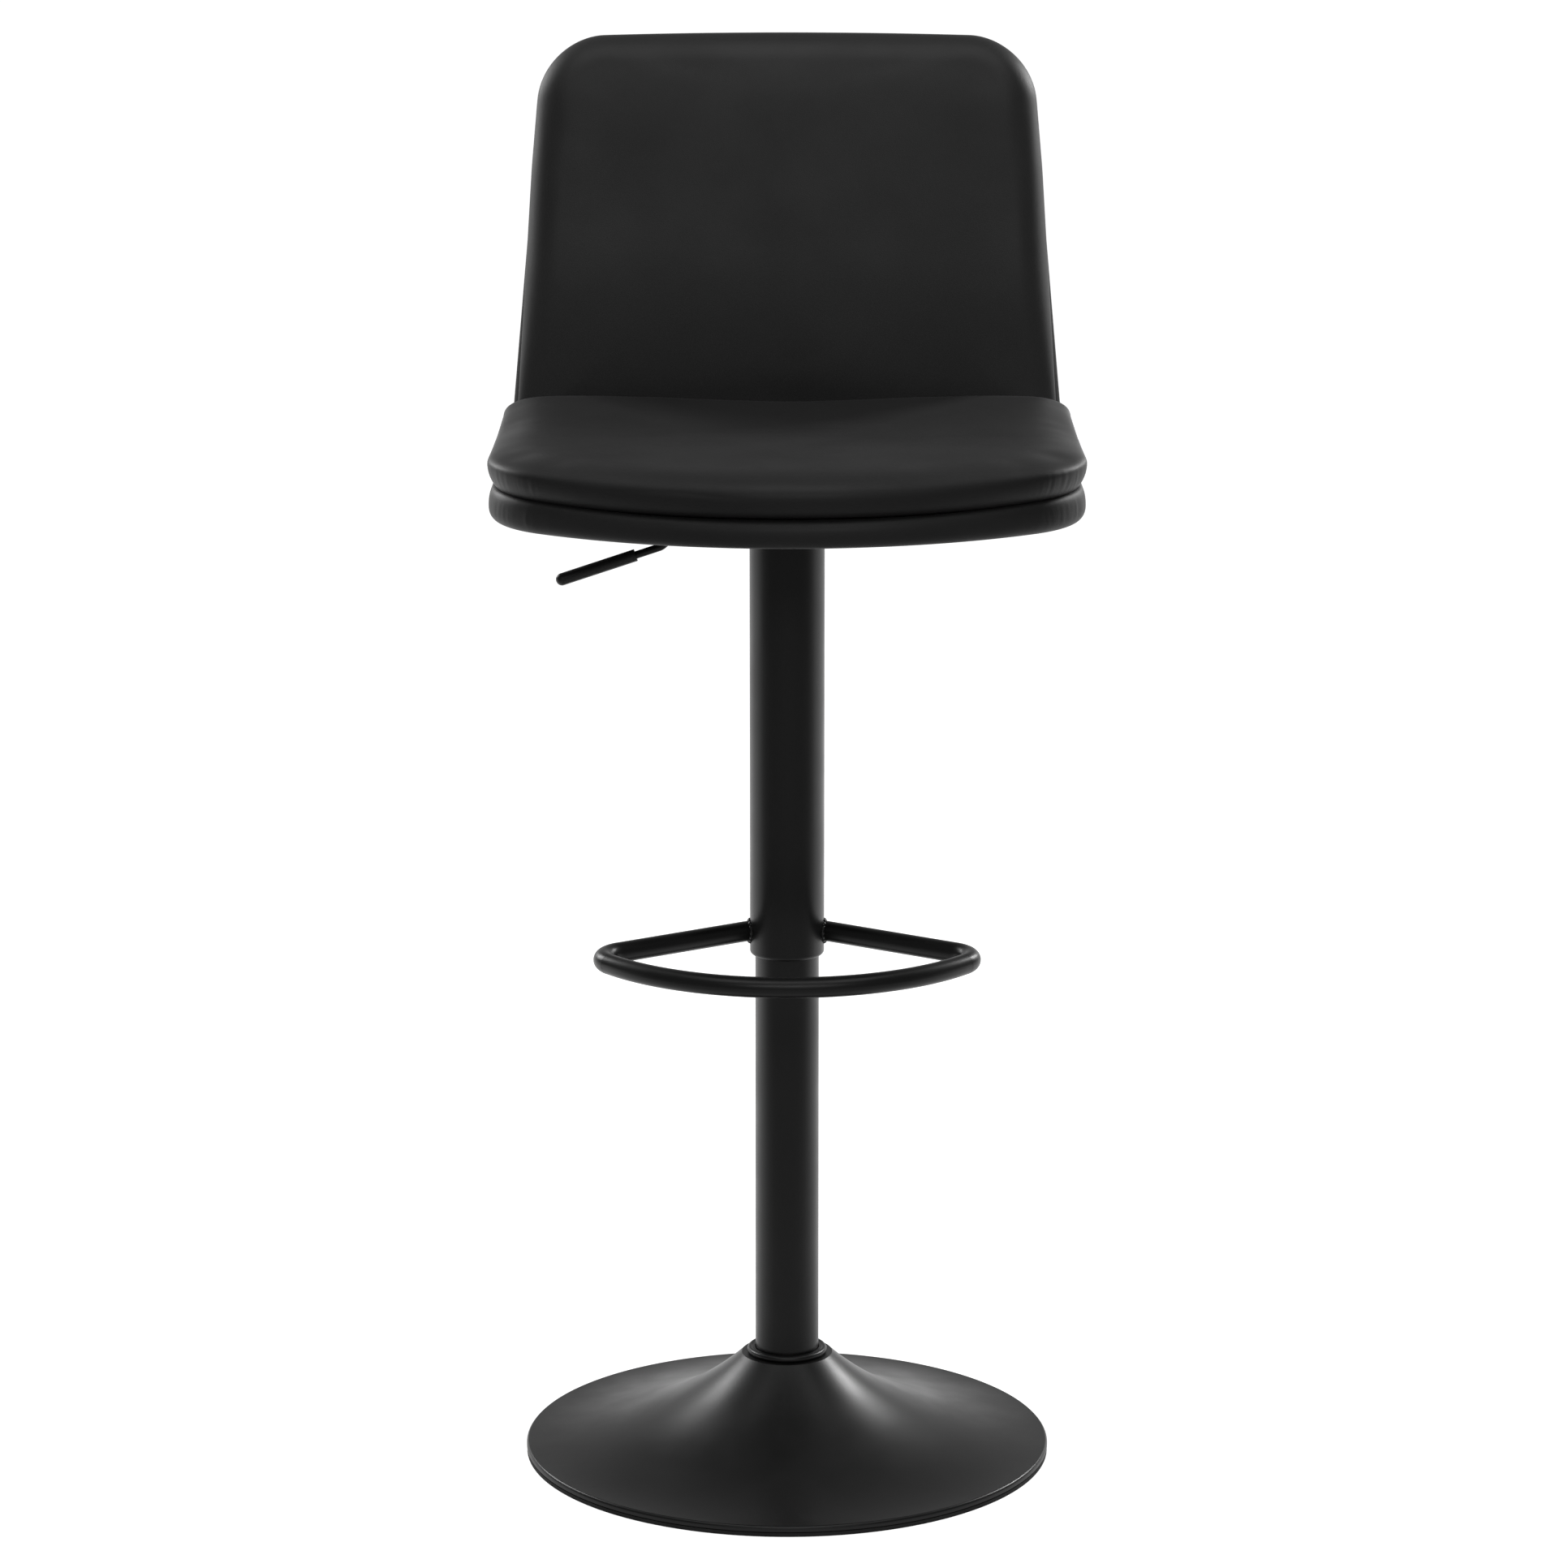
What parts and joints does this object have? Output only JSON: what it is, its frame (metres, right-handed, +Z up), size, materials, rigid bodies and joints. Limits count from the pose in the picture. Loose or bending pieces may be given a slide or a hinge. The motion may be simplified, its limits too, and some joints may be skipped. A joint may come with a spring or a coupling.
{
  "type": "bar stool",
  "caption": "Bar stool with a padded seat and low curved back, a gas lift that turns, a lever under the seat and a looped footrest on a round flared base.",
  "frame": {"origin": "on the floor, on the axis of the column, at the centre of the rubber ring's underside", "axes": "+Z up along the column; the sitter faces -Y; +X is the sitter's left, and the lever is on -X"},
  "size_m": [0.451, 0.4991, 1.1005],
  "materials": {
    "floor_rubber": "matte",
    "black_coat": "satin",
    "plain_steel": "matte",
    "zinc_steel": "satin",
    "collar_plastic": "satin",
    "bush_plastic": "satin",
    "yellow_brass": "satin",
    "cylinder_coat": "gloss",
    "grip_plastic": "satin",
    "plywood": "matte",
    "pan_leather": "satin",
    "seat_leather": "satin",
    "dust_cloth": "matte",
    "back_leather": "satin",
    "shell_leather": "satin"
  },
  "bodies": {
    "base": {"floor_ring": "floor_rubber", "base_shell": "black_coat", "base_plate": "plain_steel", "weld_nuts": "zinc_steel", "column_flange": "plain_steel", "flange_bolts": "zinc_steel", "flange_washers": "zinc_steel", "column_tube": "black_coat", "column_plug": "plain_steel", "column_collar": "collar_plastic", "guide_bush": "bush_plastic", "lower_race": "plain_steel"},
    "spindle": {"bearing_cage": "yellow_brass", "bearing_balls": "zinc_steel", "upper_race": "plain_steel", "rubber_buffer": "floor_rubber", "retaining_clip": "zinc_steel", "piston_rod": "zinc_steel", "piston": "yellow_brass", "piston_seal": "floor_rubber"},
    "seat_assembly": {"gas_cylinder": "cylinder_coat", "cylinder_gland": "plain_steel", "valve_body": "yellow_brass", "taper_socket": "plain_steel", "seat_plate": "black_coat", "lever_bracket": "zinc_steel", "lever_pivot_pin": "zinc_steel", "sleeve_tube": "black_coat", "sleeve_glide_ring": "bush_plastic", "footrest_bar": "black_coat", "footrest_welds": "black_coat", "seat_board": "plywood", "seat_pan": "pan_leather", "seat_cushion": "seat_leather", "underside_cloth": "dust_cloth", "seat_bolts": "zinc_steel", "seat_washers": "zinc_steel", "tee_nuts": "zinc_steel", "back_bracket": "black_coat", "seat_screws": "zinc_steel", "back_screws": "zinc_steel", "back_board": "plywood", "back_cushion": "back_leather", "back_shell": "shell_leather"},
    "lever": {"lever_rod": "black_coat", "lever_grip": "grip_plastic"},
    "pin": {"release_pin": "zinc_steel"}
  },
  "joints": [
    {"name": "seat_swivel", "type": "hinge", "parent": "base", "child": "spindle", "pos_m": [0, 0, 0.0304], "axis": [0, 0, 1], "continuous": true},
    {"name": "seat_lift", "type": "slide", "parent": "spindle", "child": "seat_assembly", "axis": [0, 0, 1], "range_m": [-0.2, 0]},
    {"name": "lever_pull", "type": "hinge", "parent": "seat_assembly", "child": "lever", "pos_m": [-0.036, 0, 0.765], "axis": [0, 1, 0], "range_deg": [0, 6], "stiffness_Nm_per_rad": 3, "springref_deg": -2.86},
    {"name": "pin_press", "type": "slide", "parent": "seat_assembly", "child": "pin", "axis": [0, 0, -1], "range_m": [0, 0.004]}
  ],
  "couplings": [
    {"joint": "pin_press", "follows": "lever_pull", "m_per_rad": 0.036}
  ]
}
